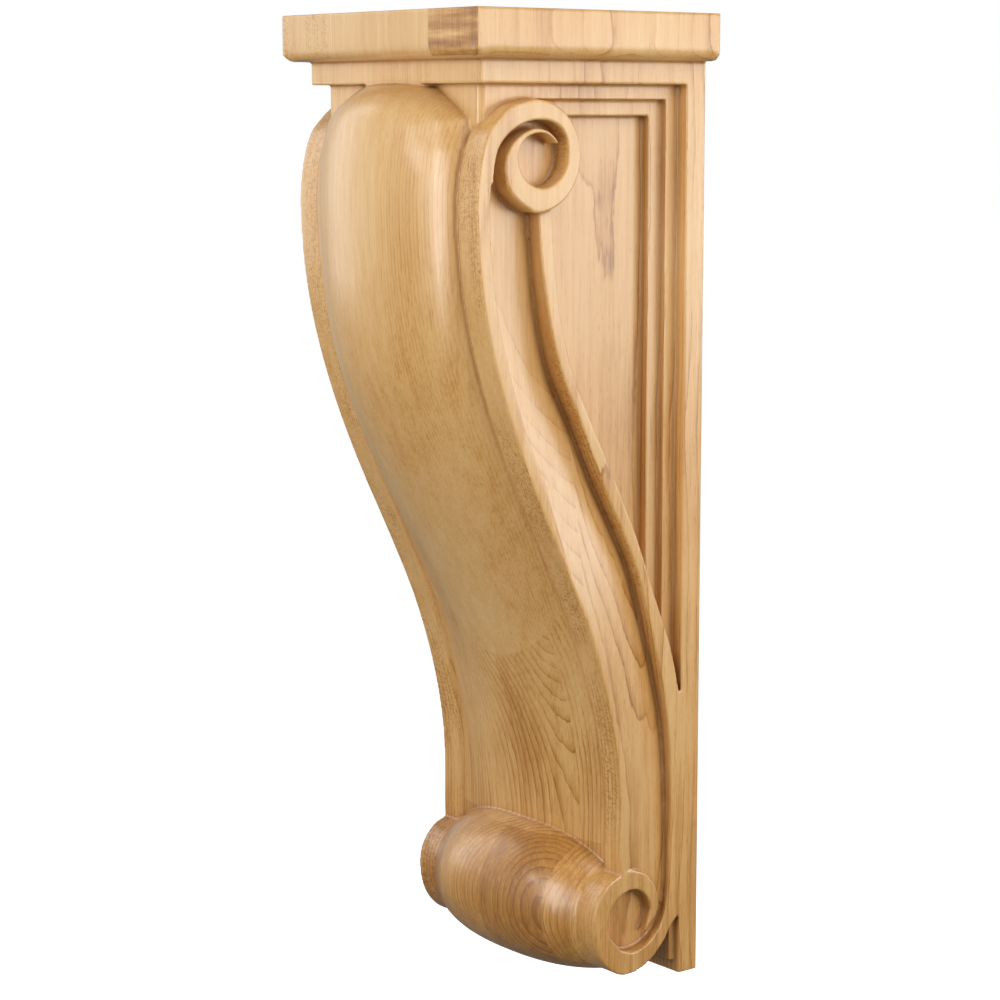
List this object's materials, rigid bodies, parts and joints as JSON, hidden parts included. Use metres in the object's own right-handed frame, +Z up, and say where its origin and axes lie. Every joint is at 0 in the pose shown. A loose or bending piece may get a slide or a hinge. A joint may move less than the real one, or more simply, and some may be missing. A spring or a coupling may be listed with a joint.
{
  "type": "scroll corbel",
  "caption": "Tall S-shaped wooden bracket with a cushioned front, spirals at both ends of its sides and a square cap, for carrying a shelf, mantel or worktop against a wall.",
  "frame": {"origin": "centre of the flat back, at the middle of its width and height", "axes": "+X to the corbel's own left as it faces the room (right in a front view), +Y into the wall, +Z up"},
  "size_m": [0.185, 0.1845, 0.559],
  "materials": {
    "maple_wood": "clear satin lacquer over pale maple glued up from upright staves"
  },
  "bodies": {
    "root": {"corbel": "maple_wood"}
  },
  "joints": []
}
